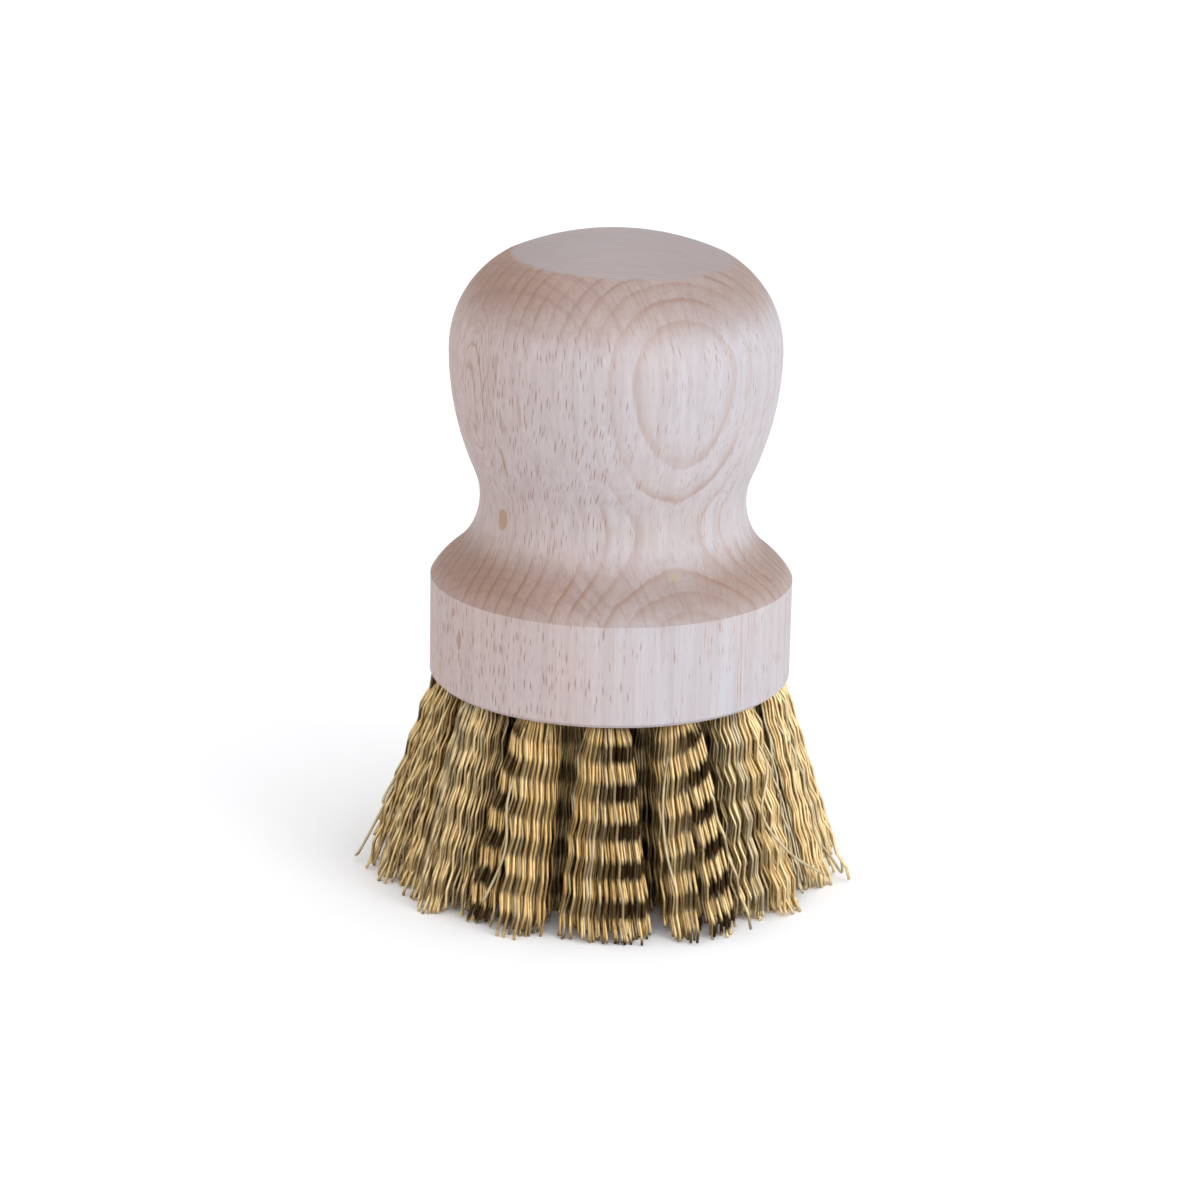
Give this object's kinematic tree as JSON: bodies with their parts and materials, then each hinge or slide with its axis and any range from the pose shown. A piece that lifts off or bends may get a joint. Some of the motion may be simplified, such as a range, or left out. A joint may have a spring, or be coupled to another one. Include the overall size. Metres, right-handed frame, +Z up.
{
  "type": "brass wire hand brush",
  "caption": "Round palm brush with a turned beech knob and rings of crimped brass wire tufts, for scrubbing soldering tips and small metal parts.",
  "frame": {"origin": "on the brush's turning axis, in the plane that the wire tips stand on", "axes": "+Z up along the turning axis, from the wire tips to the top of the knob; -Y towards the first tuft of the outer ring; +X to the right of it"},
  "size_m": [0.0662, 0.0676, 0.0899],
  "materials": {
    "beech": "bare, finely sanded",
    "brass_wire": "bright drawn wire, crimped",
    "anchor_wire": "rolled flat wire"
  },
  "bodies": {
    "root": {"handle": "beech", "tuft_outer_01": "brass_wire", "tuft_outer_02": "brass_wire", "tuft_outer_03": "brass_wire", "tuft_outer_04": "brass_wire", "tuft_outer_05": "brass_wire", "tuft_outer_06": "brass_wire", "tuft_outer_07": "brass_wire", "tuft_outer_08": "brass_wire", "tuft_outer_09": "brass_wire", "tuft_outer_10": "brass_wire", "tuft_outer_11": "brass_wire", "tuft_outer_12": "brass_wire", "tuft_outer_13": "brass_wire", "tuft_outer_14": "brass_wire", "tuft_middle_01": "brass_wire", "tuft_middle_02": "brass_wire", "tuft_middle_03": "brass_wire", "tuft_middle_04": "brass_wire", "tuft_middle_05": "brass_wire", "tuft_middle_06": "brass_wire", "tuft_middle_07": "brass_wire", "tuft_middle_08": "brass_wire", "tuft_middle_09": "brass_wire", "tuft_inner_01": "brass_wire", "tuft_inner_02": "brass_wire", "tuft_inner_03": "brass_wire", "tuft_inner_04": "brass_wire", "anchor_outer_01": "anchor_wire", "anchor_outer_02": "anchor_wire", "anchor_outer_03": "anchor_wire", "anchor_outer_04": "anchor_wire", "anchor_outer_05": "anchor_wire", "anchor_outer_06": "anchor_wire", "anchor_outer_07": "anchor_wire", "anchor_outer_08": "anchor_wire", "anchor_outer_09": "anchor_wire", "anchor_outer_10": "anchor_wire", "anchor_outer_11": "anchor_wire", "anchor_outer_12": "anchor_wire", "anchor_outer_13": "anchor_wire", "anchor_outer_14": "anchor_wire", "anchor_middle_01": "anchor_wire", "anchor_middle_02": "anchor_wire", "anchor_middle_03": "anchor_wire", "anchor_middle_04": "anchor_wire", "anchor_middle_05": "anchor_wire", "anchor_middle_06": "anchor_wire", "anchor_middle_07": "anchor_wire", "anchor_middle_08": "anchor_wire", "anchor_middle_09": "anchor_wire", "anchor_inner_01": "anchor_wire", "anchor_inner_02": "anchor_wire", "anchor_inner_03": "anchor_wire", "anchor_inner_04": "anchor_wire"}
  },
  "joints": []
}
